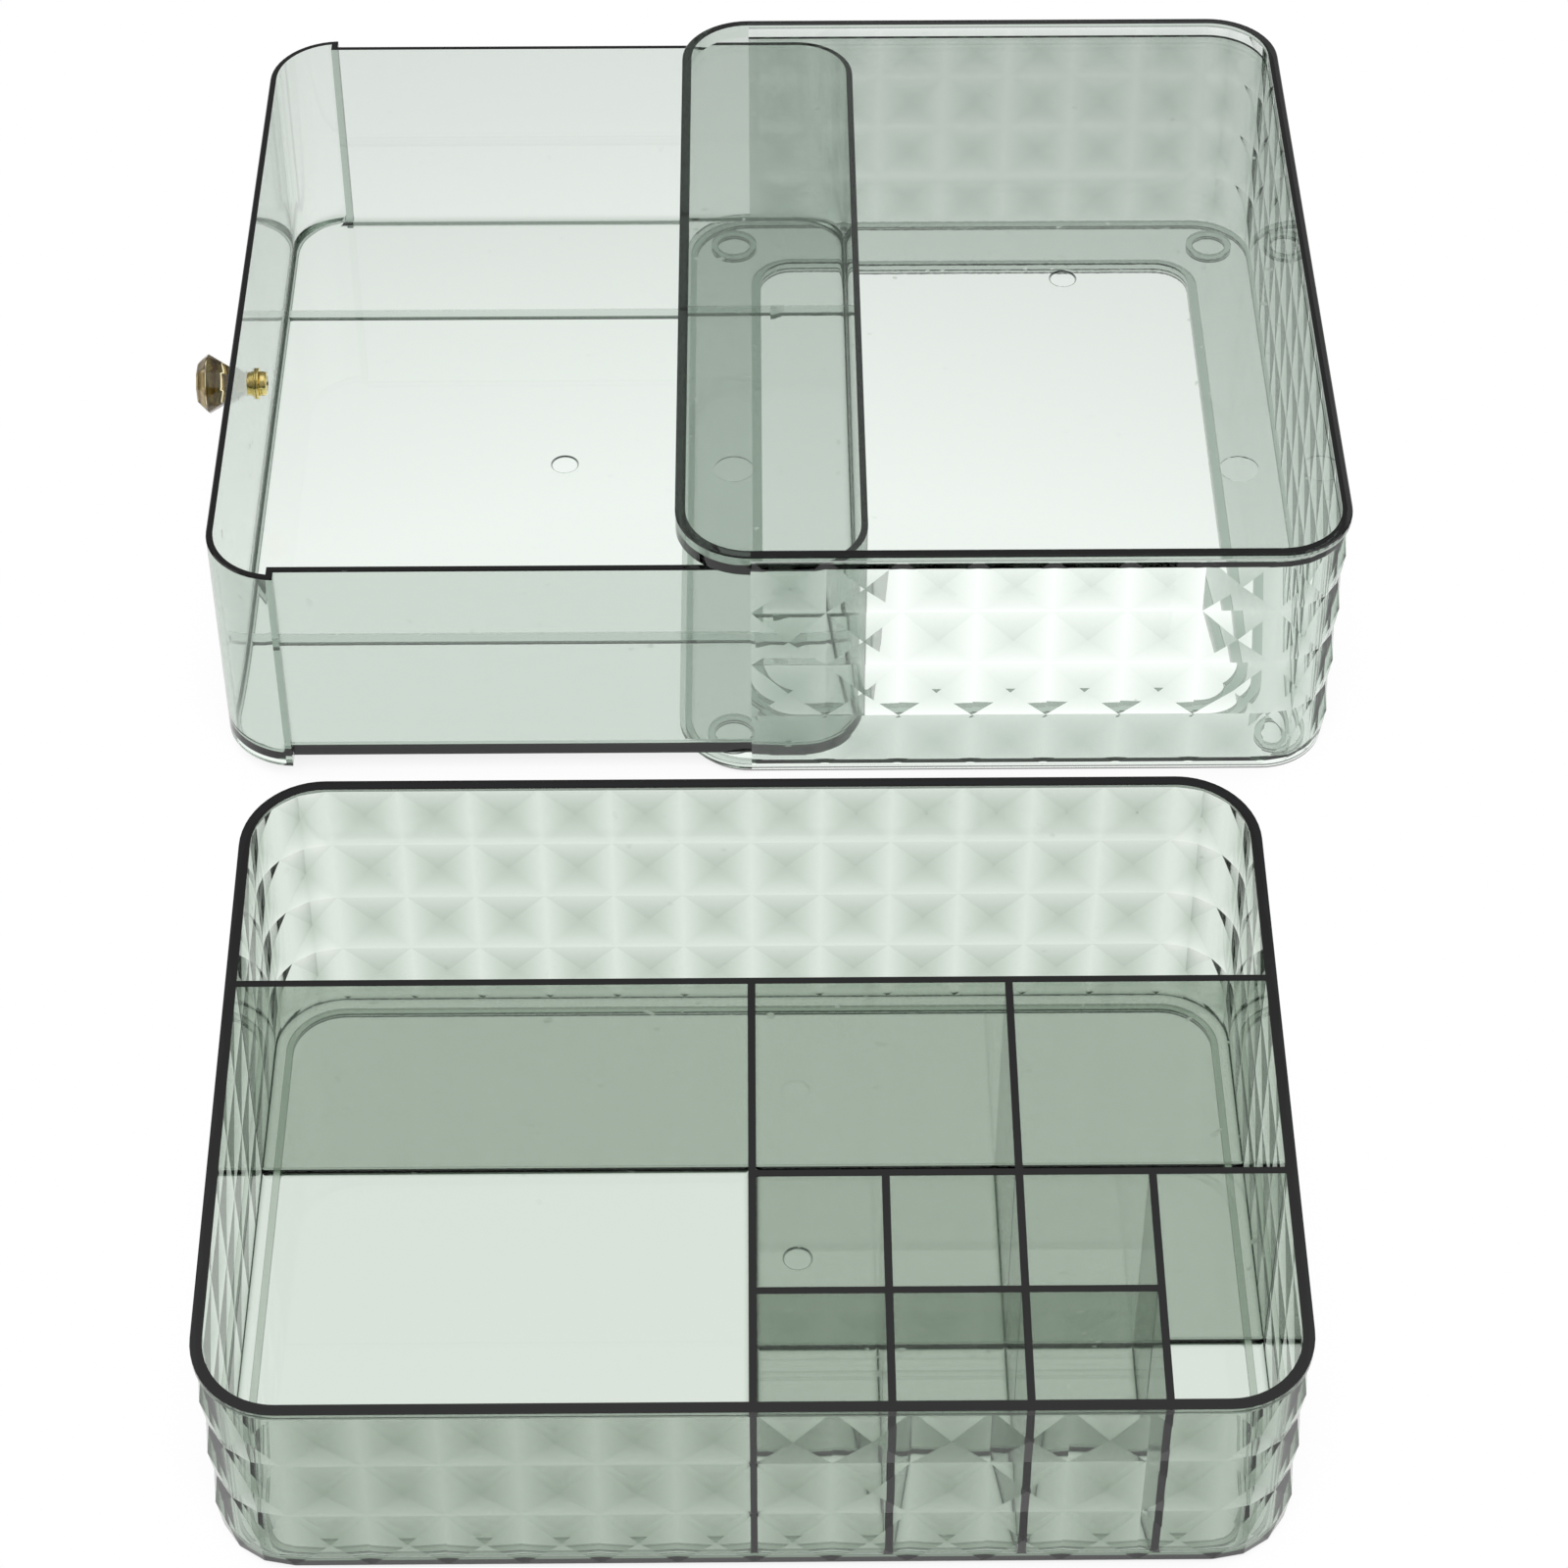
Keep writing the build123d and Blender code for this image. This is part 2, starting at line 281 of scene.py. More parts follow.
    def ramp(self, value: Socket, stops: Stops) -> Socket:
        """Colours along a value.

        Args:
            value: socket from 0 to 1.
            stops: pairs of place and colour, in order.

        Returns:
            The socket with the colour.
        """
        node = self.add("ValToRGB")
        elements = node.color_ramp.elements
        elements[0].position, elements[1].position = stops[0][0], stops[-1][0]
        for place, _ in stops[1:-1]:
            elements.new(place)
        for element, (_, colour) in zip(elements, stops):
            element.color = (*colour, 1)
        self.join(value, node.inputs["Fac"])
        return node.outputs["Color"]

    def mix(self, share: Socket, under: Socket, over: Socket | Rgb, blend: str = "MIX") -> Socket:
        """Lays one colour over another.

        Args:
            share: how much of the upper colour counts, from 0 to 1.
            under: socket with the lower colour.
            over: socket with the upper colour, or that colour itself.
            blend: how the two are combined.

        Returns:
            The socket with the colour.
        """
        node = self.add("Mix", data_type="RGBA", blend_type=blend)
        self.join(share, node.inputs["Factor"])
        self.join(under, node.inputs[MIX_UNDER])
        if isinstance(over, tuple):
            node.inputs[MIX_OVER].default_value = (*over, 1)
        else:
            self.join(over, node.inputs[MIX_OVER])
        return node.outputs[MIX_RESULT]


def grey(level: float) -> Rgb:
    """A grey of one level."""
    return (level, level, level)


def greys(steps: Steps) -> Stops:
    """Grey colours for a ramp from pairs of place and level."""
    return [(place, grey(level)) for place, level in steps]


def new_material(name: str) -> tuple[bpy.types.Material, NodeBench]:
    """Makes an empty material.

    Args:
        name: name of the material.

    Returns:
        The material and the bench for its nodes.
    """
    material = bpy.data.materials.new(name)
    material.use_nodes = True
    return material, NodeBench(material.node_tree)


def clear_shader(bench: NodeBench, ior: float, taken: Rgb) -> bpy.types.Node:
    """A clear shader over an absorbing inside, joined to the material's output.

    The inside's density is the most that a channel takes times a spare factor, and its colour is,
    channel by channel, one less what is taken over the density.

    Args:
        bench: bench of the material.
        ior: index of refraction.
        taken: light taken per metre in red, green and blue.

    Returns:
        The shader's node.
    """
    shader = bench.add("BsdfPrincipled", {"Transmission Weight": 1.0, "IOR": ior})
    density = DENSITY_SPARE * max(taken)
    colour = (*[1 - t / density for t in taken], 1)
    inside = bench.add("VolumeAbsorption", {"Color": colour, "Density": density})
    bench.join(inside.outputs[0], bench.close(shader).inputs["Volume"])
    return shader


# Finishes


@dataclass(frozen=True)
class Gate:
    """Shallow round mark that the mould's gate leaves on a floor.

    The mark's inside is darkened and a thin dark line is drawn round it, both painted shade: the
    line for the dark edge of the pit, and the inside to keep the thinner plastic there from looking
    brighter. They are given in radii of the mark: where the inner colour ends, where the line is
    dark from and to, where the mark's surroundings are clear, and how far is looked at.
    Up and down, the mark's shading ends a slack beyond its depth.
    """

    x: float
    y: float
    radius: float
    level: float
    depth: float = 0.6 * MM
    slack: float = 0.05 * MM
    # Painted shade for the mark's inside and for its edge line.
    inner: Rgb = (0.86, 0.89, 0.87)
    line: Rgb = (0.22, 0.24, 0.23)
    inner_to: float = 0.90
    line_from: float = 0.94
    line_to: float = 1.03
    clear_from: float = 1.07
    reach: float = 1.2

    def stops(self) -> Stops:
        """The mark's colours by the distance from its middle.

        Returns:
            Pairs of distance, as a share of the reach, and colour.
        """
        rings = ((0.0, self.inner), (self.inner_to, self.inner), (self.line_from, self.line),
                 (self.line_to, self.line), (self.clear_from, grey(1.0)))
        return [(radii / self.reach, colour) for radii, colour in rings]


@dataclass(frozen=True)
class SmokePlastic:
    """Clear moulded plastic with a smoky green tint that deepens with its thickness.

    Light taken is counted per metre in red, green and blue. Faces above the rim level that look up
    by more than the rim's slope get the rim colour, a near-black painted shade, and so does a line
    at the foot of upright faces. On the rim it stands in for the dark look that light running along
    the tinted wall gives its top edge.
    """

    name: str
    taken: Rgb
    rim_level: float
    # Near-black painted shade for rims and the foot line; the plastic itself is clear.
    rim: Rgb
    gate: Gate
    tint: Rgb = (1.0, 1.0, 1.0)
    rim_slope: Fade = Fade(0.5, 0.68)
    rim_fade: float = 0.2 * MM
    foot_level: float = 0.7 * MM
    foot_slope: Fade = Fade(0.2, 0.35, 1.0, 0.0)
    foot_fade: float = 0.15 * MM
    ior: float = 1.54
    flow: Clouds = Clouds(22.0, 1.0)
    flow_depth: float = 0.00002
    peel: Clouds = Clouds(900.0, 2.0)
    peel_depth: float = 0.0000008
    handling: Clouds = Clouds(35.0, 4.0)
    handled: Fade = Fade(0.35, 0.75, 0.0, 0.018)
    dust: Clouds = Clouds(260.0, 0.0)
    specks: Fade = Fade(0.80, 0.86, 0.0, 0.25)

    def material(self) -> bpy.types.Material:
        """Clear glass-like shader over an absorbing inside.

        The surface has the slow waves of the moulding flow and a fine orange peel as bump. Its
        roughness wanders between polished and faintly handled, and rare specks are duller. Rims and
        the tops of partitions are near black, as the ends of tinted sheet are.

        Returns:
            The material.
        """
        material, bench = new_material(self.name)
        shader = clear_shader(bench, self.ior, self.taken)
        bench.join(self.paint_gate_shade(bench, self.colour(bench)), shader.inputs["Base Color"])
        place = bench.object_place()
        flow = bench.relief(bench.noise(place, self.flow), self.flow_depth)
        peel = bench.relief(bench.noise(place, self.peel), self.peel_depth, flow)
        bench.join(peel, shader.inputs["Normal"])
        handled = bench.fade(bench.noise(place, self.handling), self.handled)
        specks = bench.fade(bench.noise(place, self.dust), self.specks)
        bench.join(bench.math("MAXIMUM", handled, specks), shader.inputs["Roughness"])
        return material

    def colour(self, bench: NodeBench) -> Socket:
        """The surface tint, with a near-black painted shade on the rim and in a thin line round the
        foot.

        The rim is where a face above the rim level looks up. The line is where an upright face
        comes down below the foot level.

        Args:
            bench: bench of the material.

        Returns:
            The socket with the colour.
        """
        facing = bench.split(bench.add("NewGeometry").outputs["True Normal"])
        upward = bench.math("ABSOLUTE", facing["Z"])
        height = bench.split(bench.add("TexCoord").outputs["Object"])["Z"]
        above = bench.fade(height, Fade(self.rim_level, self.rim_level + self.rim_fade))
        rim_shade_share = bench.math("MULTIPLY", bench.fade(upward, self.rim_slope), above)
        foot_from = self.foot_level - self.foot_fade
        below = bench.fade(height, Fade(foot_from, self.foot_level, 1.0, 0.0))
        foot_shade_share = bench.math("MULTIPLY", bench.fade(upward, self.foot_slope), below)
        # Painted shade: the rim colour goes on rims and on the foot line.
        dark = bench.math("MAXIMUM", rim_shade_share, foot_shade_share)
        return bench.ramp(dark, [(0.0, self.tint), (1.0, self.rim)])

    def paint_gate_shade(self, bench: NodeBench, colour: Socket) -> Socket:
        """Paints shade into the gate's mark and draws the thin dark line round its edge, as painted
        shade.

        Args:
            bench: bench of the material.
            colour: socket with the colour round the mark.

        Returns:
            The socket with the colour and the mark.
        """
        gate = self.gate
        place = bench.object_place((gate.x, gate.y, gate.level))
        away = bench.distance(place, (1, 1, 0))
        share = bench.fade(away, Fade(0.0, gate.reach * gate.radius))
        upright = bench.math("ABSOLUTE", bench.split(place)["Z"])
        near = bench.fade(upright, Fade(gate.depth + gate.slack, gate.depth + 2 * gate.slack,
                                        1.0, 0.0))
        # Painted shade multiplied into the colour over the mark's depth.
        return bench.mix(near, colour, bench.ramp(share, gate.stops()), "MULTIPLY")


@dataclass(frozen=True)
class CutCrystal:
    """Clear acrylic cut like a gem, with a faint champagne tint."""

    name: str
    taken: Rgb
    surface: Rgb = (1.0, 1.0, 1.0)
    ior: float = 1.58
    smears: Clouds = Clouds(700.0, 3.0)
    haze: Fade = Fade(0.4, 0.8, 0.0, 0.04)
    polish: Clouds = Clouds(1500.0, 1.0)
    polish_depth: float = 0.000001

    def material(self) -> bpy.types.Material:
        """Clear shader with polishing haze on the facets.

        Returns:
            The material.
        """
        material, bench = new_material(self.name)
        shader = clear_shader(bench, self.ior, self.taken)
        shader.inputs["Base Color"].default_value = (*self.surface, 1)
        place = bench.object_place()
        haze = bench.fade(bench.noise(place, self.smears), self.haze)
        bench.join(haze, shader.inputs["Roughness"])
        polish = bench.relief(bench.noise(place, self.polish), self.polish_depth)
        bench.join(polish, shader.inputs["Normal"])
        return material


@dataclass(frozen=True)
class HollowShade:
    """Where the plating gets a near-black painted shade, as at the bottom of a screw's recess.

    It lies within a radius of the knob's axis and between two distances behind the knob's foot.
    """

    radius: float
    start: float
    end: float
    soft: float = 0.12 * MM
    # Colour of the painted shade.
    colour: Rgb = (0.02, 0.015, 0.006)


@dataclass(frozen=True)
class GoldPlate:
    """Bright plated metal, turned on a lathe before plating."""

    name: str
    deep: Rgb
    bright: Rgb
    foot: Point
    # Painted shade in a recess, if any.
    hollow: HollowShade | None = None
    turning_rings: float = 900.0
    ring_bend: float = 0.4
    ring_depth: float = 0.0000015
    tarnish: Clouds = Clouds(420.0, 3.0)
    deep_to: float = 0.3
    bright_from: float = 0.7
    wear: Clouds = Clouds(900.0, 4.0)
    rough: Fade = Fade(0.3, 0.8, 0.07, 0.2)
    pits: Clouds = Clouds(2600.0, 2.0)
    pit_depth: float = 0.000002

    def material(self) -> bpy.types.Material:
        """Metal with turning rings about the knob's axis, cloudy tarnish and small pits.

        Returns:
            The material.
        """
        material, bench = new_material(self.name)
        shader = bench.add("BsdfPrincipled", {"Metallic": 1.0})
        place = bench.object_place(self.foot)
        rings = bench.add("TexWave", {"Scale": self.turning_rings, "Distortion": self.ring_bend},
                          wave_type="RINGS", rings_direction="X")
        bench.join(place, rings.inputs["Vector"])
        stops = [(self.deep_to, self.deep), (self.bright_from, self.bright)]
        colour = bench.ramp(bench.noise(place, self.tarnish), stops)
        # Painted shade at the bottom of the screw's recess.
        if self.hollow is not None:
            colour = self.paint_hollow_shade(bench, place, colour, self.hollow)
        bench.join(colour, shader.inputs["Base Color"])
        rough = bench.fade(bench.noise(place, self.wear), self.rough)
        bench.join(rough, shader.inputs["Roughness"])
        pits = bench.relief(bench.noise(place, self.pits), self.pit_depth)
        normal = bench.relief(rings.outputs["Fac"], self.ring_depth, pits)
        bench.join(normal, shader.inputs["Normal"])
        bench.close(shader)
        return material

    def paint_hollow_shade(self, bench: NodeBench, place: Socket, colour: Socket, hollow: HollowShade) -> Socket:
        """Paints shade over the plating in the hollow.

        Args:
            bench: bench of the material.
            place: coordinates about the knob's foot.
            colour: socket with the plating's colour.
            hollow: where the plating gets its painted shade.

        Returns:
            The socket with the colour and the painted shade in its hollow.
        """
        back, soft = bench.split(place)["X"], hollow.soft
        radius = bench.distance(place, (0, 1, 1))
        within = bench.fade(radius, Fade(hollow.radius, hollow.radius + soft, 1.0, 0.0))
        behind = bench.fade(back, Fade(hollow.start, hollow.start + soft))
        before = bench.fade(back, Fade(hollow.end - 2 * soft, hollow.end, 1.0, 0.0))
        share = bench.math("MULTIPLY", bench.math("MULTIPLY", within, behind), before)
        return bench.mix(share, colour, hollow.colour)


# Surfaces


def quads(rows: int, columns: int, wrap: Wrap, first: int = 0) -> np.ndarray:
    """Corners of the quads of a grid of points.

    The corner numbers are row times columns plus column, with the next column and, on a torus, the
    next row counted round.

    Args:
        rows: rows of points.
        columns: points in a row.
        wrap: how the grid closes.
        first: number of the grid's first point.

    Returns:
        An array of four corners a quad.
    """
    last_row = rows if wrap is Wrap.TORUS else rows - 1
    last_column = columns - 1 if wrap is Wrap.SHEET else columns
    row, column = np.meshgrid(np.arange(last_row), np.arange(last_column), indexing="ij")
    next_row, next_column = (row + 1) % rows, (column + 1) % columns
    corners = (row * columns + column, row * columns + next_column,
               next_row * columns + next_column, next_row * columns + column)
    return first + np.stack([c.ravel() for c in corners], axis=1)


def lay_surface(name: str, points: np.ndarray, wrap: Wrap) -> bpy.types.Object:
    """Makes a piece from a grid of points.

    On a shape with poles the first and last row are one point each, joined by fans. The enclosed
    volume is the sum of each triangle's corner product over six, and where it comes out negative
    the corners are turned round, so that faces point outwards.

    Args:
        name: name of the piece.
        points: array of rows, columns and three coordinates, in metres.
        wrap: how the grid closes.

    Returns:
        The new object, at the origin.
    """
    rows, columns = points.shape[:2]
    if wrap is Wrap.POLES:
        vertices = np.concatenate([points[:1, 0], points[1:-1].reshape(-1, 3), points[-1:, 0]])
        body = quads(rows - 2, columns, wrap, 1)
        here = np.arange(columns)
        after = (here + 1) % columns
        end = len(vertices) - 1
        ring = end - columns
        start_fan = np.stack([np.zeros_like(here), 1 + after, 1 + here], axis=1)
        end_fan = np.stack([np.full_like(here, end), ring + here, ring + after], axis=1)
        fans = np.concatenate([start_fan, end_fan])
    else:
        vertices = points.reshape(-1, 3)
        body = quads(rows, columns, wrap)
        fans = np.zeros((0, 3), int)
    triangles = np.concatenate([body[:, :3], body[:, [0, 2, 3]], fans])
    a, b, c = (vertices[triangles[:, i]] - vertices.mean(0) for i in range(3))
    if np.einsum("ij,ij->i", a, np.cross(b, c)).sum() < 0:
        body, fans = body[:, ::-1], fans[:, ::-1]
    mesh = bpy.data.meshes.new(name)
    mesh.from_pydata(vertices.tolist(), [], body.tolist() + fans.tolist())
    mesh.polygons.foreach_set("use_smooth", np.ones(len(mesh.polygons), bool))
    mesh.update()
    piece = bpy.data.objects.new(name, mesh)
    bpy.context.scene.collection.objects.link(piece)
    return piece


def round_corners(path: np.ndarray, radius: float, steps: int, closed: bool) -> np.ndarray:
    """Rounds the corners of a profile.

    Each corner is replaced by the curve (1-t)^2 A + 2t(1-t) B + t^2 C, where B is the corner and A
    and C lie on its two sides, a radius away or half a side where that is less.

    Args:
        path: profile points, one a row.
        radius: length taken from each side.
        steps: points for each corner.
        closed: True if the last point joins the first.

    Returns:
        The points of the rounded profile.
    """
    t = np.linspace(0, 1, steps)[None, :, None]

    def cut(other: np.ndarray) -> np.ndarray:
        """Where the curves start on the sides towards other corners.

        Args:
            other: the corners at the far ends of those sides.

        Returns:
            The points, with an axis for the steps.
        """
        side = other - path
        length = np.linalg.norm(side, axis=1, keepdims=True)
        return (path + side * np.minimum(radius / np.maximum(length, TINY), 0.5))[:, None]

    a, c = cut(np.roll(path, 1, 0)), cut(np.roll(path, -1, 0))
    curve = (1 - t) ** 2 * a + 2 * t * (1 - t) * path[:, None] + t**2 * c
    if not closed:
        curve[0], curve[-1] = path[0], path[-1]
    return curve.reshape(-1, 2)


def full_turn(columns: int) -> np.ndarray:
    """Angles of a row of points that goes once round."""
    return np.linspace(0, 2 * pi, columns, endpoint=False)[None, :]


def about_axis(along: np.ndarray, radius: np.ndarray, turn: np.ndarray) -> np.ndarray:
    """Points from their place along an axis, distance from it and turn about it.

    The two coordinates across the axis are the radius times the turn's cosine and sine.

    Args:
        along: place along the axis.
        radius: distance from the axis.
        turn: angle about the axis.

    Returns:
        The points, with a last axis of three: along, and two across.
    """
    parts = np.broadcast_arrays(along, radius * np.cos(turn), radius * np.sin(turn))
    return np.stack(parts, axis=-1)


# Sub-assemblies


@dataclass
class Moulding:
    """One clear moulding, whose shape is the frame's own node."""

    node: str
    body: Body
    finish: SmokePlastic

    def dress(self) -> None:
        """Gives the node its finish."""
        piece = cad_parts[self.node]
        material = self.finish.material()
        for slot in piece.material_slots:
            slot.material = material
        LOG.info("%s: %d faces, rides on %s, %s", piece.name, len(piece.data.polygons),
                 self.body.value, self.finish.name)


@dataclass(frozen=True)
class Crystal:
    """The knob's faceted crystal.

    Neck, girdle and table are radii at the middle of a side. The flare is the length from neck to
    girdle, and the crown the length from girdle to table. The middle lies at its share of the
    flare, and kites leave the corners at theirs of the way from neck or table to the girdle.
    """

    sides: int = 8
    neck: float = 3.8 * MM
    girdle: float = 10.2 * MM
    table: float = 6.5 * MM
    flare: float = 10.5 * MM
    crown: float = 3.8 * MM
    middle_share: float = 0.8
    kite_share: float = 0.45
    hardness: int = 120
    rows: int = 161
    columns: int = 256

    def facets(self) -> tuple[np.ndarray, np.ndarray]:
        """The planes of the facets about the crystal's middle.

        A facet through two points (r1, h1) and (r2, h2) at one turn faces (h2-h1, -(r2-r1)) in
        radius and height. Kites are turned by half a side.

        Returns:
            The unit directions the facets face, as place along the knob and two across it, and
            their distances from the middle.
        """
        middle = self.flare * self.middle_share
        corner = 1 / cos(pi / self.sides)
        neck, girdle = (self.neck, 0.0), (self.girdle, self.flare)
        table = (self.table, self.flare + self.crown)

        def kite(end: tuple[float, float]) -> tuple[float, float]:
            """Where a kite leaves the corner between two main facets."""
            radius, height = (e + (g - e) * self.kite_share for e, g in zip(end, girdle))
            return (corner * radius, height)

        main = np.arange(self.sides) * 2 * pi / self.sides
        half = main + pi / self.sides
        facing, distance = [], []
        for turns, low, high in ((main, neck, girdle), (main, girdle, table),
                                 (half, kite(neck), girdle), (half, girdle, kite(table))):
            out, up = high[1] - low[1], low[0] - high[0]
            length = np.hypot(out, up)
            ways = [np.full(self.sides, up), out * np.cos(turns), out * np.sin(turns)]
            facing.append(np.stack(ways, 1) / length)
            distance.append(np.full(self.sides, (low[0] * out + (low[1] - middle) * up) / length))
        facing.append(np.array([[1.0, 0, 0], [-1.0, 0, 0]]))
        distance.append(np.array([table[1] - middle, middle]))
        return np.concatenate(facing), np.concatenate(distance)

    def points(self, neck_at: float) -> np.ndarray:
        """The cut crystal with softly polished edges.

        In each direction from its middle the surface lies at one over the p-th root of the sum of
        (facing times direction over distance) to the power p, over the facets turned that way. The
        hardness p is large, which keeps facets flat and rounds only their edges.

        Args:
            neck_at: where the neck is along the knob.

        Returns:
            The points about the knob's axis.
        """
        facing, distance = self.facets()
        tilt, turn = np.linspace(0, pi, self.rows)[:, None], full_turn(self.columns)
        way = about_axis(np.cos(tilt), np.sin(tilt), turn)
        towards = np.maximum(way @ facing.T / distance, 0)
        most = towards.max(-1, keepdims=True)
        root = ((towards / most) ** self.hardness).sum(-1) ** (1 / self.hardness)
        reach = 1 / (most[..., 0] * root)
        points = reach[..., None] * way
        points[..., 0] += neck_at + self.flare * self.middle_share
        return points


@dataclass(frozen=True)
class Foil:
    """The gold foil just under the crystal's table and crown, an eight-sided dish.

    Its rings of points lie at shares of its flat middle and of its sloping skirt, and its back is
    smaller by a share of its thickness.
    """

    inset: float = 0.35 * MM
    reach: float = 9.3 * MM
    thickness: float = 0.12 * MM
    flat_share: float = 0.6
    skirt_share: float = 0.5
    back_share: float = 0.3
    columns: int = 96

    def points(self, crystal: Crystal, neck_at: float) -> np.ndarray:
        """The foil's front, and its back a thickness behind it.

        Its radius at a turn is the radius at the middle of a side over the cosine of the turn from
        that middle. It is flat under the table and slopes as the crown does beyond it.

        Args:
            crystal: the crystal that it lies in.
            neck_at: where the crystal's neck is along the knob.

        Returns:
            The points about the knob's axis.
        """
        turn, side = full_turn(self.columns), 2 * pi / crystal.sides
        octagon = 1 / np.cos((turn + side / 2) % side - side / 2)
        top = neck_at + crystal.flare + crystal.crown - self.inset
        edge = crystal.table - self.inset
        skirt = self.reach - edge
        drop = skirt * crystal.crown / (crystal.girdle - crystal.table)
        rows = np.array([[0.0, 0.0], [edge * self.flat_share, 0.0], [edge, 0.0],
                         [edge + skirt * self.skirt_share, -drop * self.skirt_share],
                         [edge + skirt, -drop]])
        back = rows[::-1] - np.array([[self.thickness * self.back_share, self.thickness]])
        rows = np.concatenate([rows, back])
        return about_axis(top + rows[:, 1:], np.maximum(rows[:, :1], 0) * octagon, turn)


@dataclass(frozen=True)
class Ferrule:
    """The turned ferrule: flange, hollow waist and a collar of small beads.

    The waist starts a step inside the flange. The bead cut is the share of a bead's depth that lies
    under the collar's round.
    """

    length: float = 4.0 * MM
    flange_radius: float = 5.5 * MM
    flange: float = 1.0 * MM
    flange_step: float = 0.5 * MM
    flange_round: float = 0.22 * MM
    round_steps: int = 6
    waist_radius: float = 3.7 * MM
    waist_level: float = 2.7 * MM
    waist_rows: int = 24
    collar_radius: float = 4.5 * MM
    collar_turn: float = 0.86
    collar_rows: int = 20
    beads: int = 28
    bead_depth: float = 0.14 * MM
    bead_cut: float = 0.6
    columns: int = 224

    def points(self, bore: float) -> np.ndarray:
        """The ferrule with its beading.

        From the flange to the waist the radius falls as a quarter cosine. On the collar it rises
        as the first part of a half sine, and the sine of the turn times half the number of beads,
        without its sign, adds the beading.

        Args:
            bore: radius of the bore.

        Returns:
            The points about the knob's axis.
        """
        waist, rise = np.linspace(0, 1, self.waist_rows), self.length - self.waist_level
        fall = self.flange_radius - self.flange_step - self.waist_radius
        cove = np.stack([self.flange + (self.waist_level - self.flange) * waist,
                         self.waist_radius + fall * (1 - np.sin(waist * pi / 2))], 1)
        arc, swell = np.linspace(0, 1, self.collar_rows), self.collar_radius - self.waist_radius
        collar = np.stack([self.waist_level + rise * arc,
                           self.waist_radius + swell * np.sin(arc * pi * self.collar_turn)], 1)
        corners = np.array([[0.0, bore], [0.0, self.flange_radius],
                            [self.flange, self.flange_radius], cove[0]])
        flange = round_corners(corners, self.flange_round, self.round_steps, False)
        profile = np.concatenate([flange, cove[1:], collar[1:], [[self.length, bore]]])
        along, radius = profile[:, :1], profile[:, 1:]
        turn = full_turn(self.columns)
        share = np.clip((along - self.waist_level) / rise, 0, 1)
        outside = (radius > self.waist_radius).astype(float)
        beading = np.abs(np.sin(turn * self.beads / 2)) - self.bead_cut
        beading = self.bead_depth * outside * np.sin(share * pi) * beading
        return about_axis(along, radius + beading, turn)


@dataclass(frozen=True)
class Washer:
    """The washer inside the panel, a flat ring with stamped round edges."""

    radius: float = 5.5 * MM
    thickness: float = 0.8 * MM
    edge_round: float = 0.25 * MM
    round_steps: int = 6
    columns: int = 96

    def points(self, bore: float, face: float) -> np.ndarray:
        """The washer's ring.

        Args:
            bore: radius of the bore.
            face: where the washer's outer face is along the knob.

        Returns:
            The points about the knob's axis.
        """
        low = face - self.thickness
        corners = np.array([[low, bore], [low, self.radius], [face, self.radius], [face, bore]])
        profile = round_corners(corners, self.edge_round, self.round_steps, True)
        return about_axis(profile[:, :1], profile[:, 1:], full_turn(self.columns))


